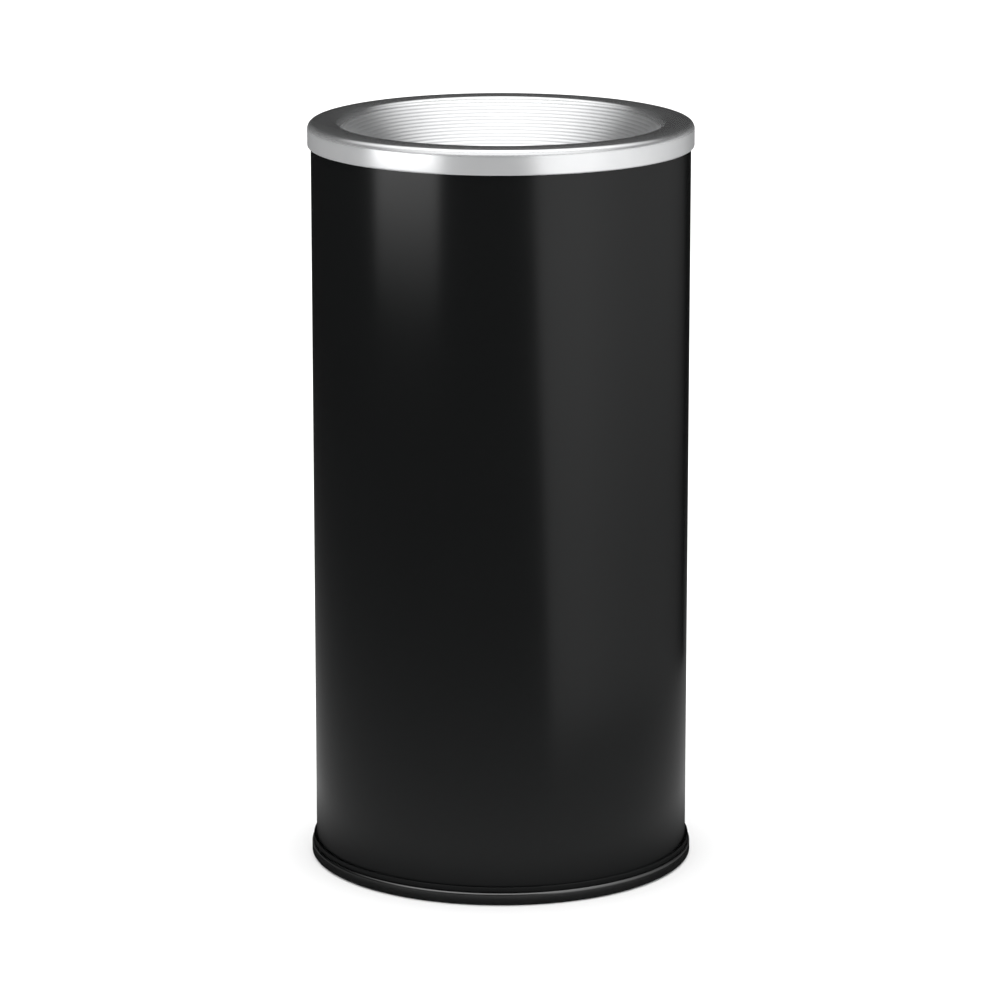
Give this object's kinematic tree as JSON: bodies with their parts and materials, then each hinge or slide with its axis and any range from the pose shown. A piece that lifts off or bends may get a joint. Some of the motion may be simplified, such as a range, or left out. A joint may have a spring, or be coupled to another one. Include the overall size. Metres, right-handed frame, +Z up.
{
  "type": "umbrella stand",
  "caption": "Round black steel umbrella stand with a lift-off funnel top of spun aluminium, a moulded base ring, a weighted bottom and a lift-out drip pan.",
  "frame": {"origin": "centre of the base, on the floor", "axes": "+Z up along the tube, +Y towards the back, where the tube's seam is"},
  "size_m": [0.254, 0.254, 0.4953],
  "materials": {
    "black_enamel": "satin black baked enamel",
    "spun_aluminium": "satin, fine turned lines",
    "black_vinyl": "smooth moulded vinyl, satin",
    "ballast_steel": "dark primer",
    "zinc_fixings": "bright zinc plating",
    "galvanised_steel": "galvanised, fine spangle"
  },
  "bodies": {
    "stand": {"shell": "black_enamel", "bottom_cap": "black_enamel", "base_ring": "black_vinyl", "ballast_plate": "ballast_steel", "ballast_screws": "zinc_fixings", "ballast_washers": "zinc_fixings", "ballast_nuts": "zinc_fixings"},
    "top": {"funnel_top": "spun_aluminium"},
    "pan": {"drip_pan": "galvanised_steel", "pan_grips": "galvanised_steel", "pan_rivets": "zinc_fixings"}
  },
  "joints": [
    {"name": "top_lift", "type": "slide", "parent": "stand", "child": "top", "axis": [0, 0, 1], "range_m": [0, 0.56]},
    {"name": "pan_lift", "type": "slide", "parent": "stand", "child": "pan", "axis": [0, 0, 1], "range_m": [0, 0.504]}
  ],
  "couplings": [
    {"joint": "pan_lift", "follows": "top_lift", "ratio": 0.9}
  ]
}
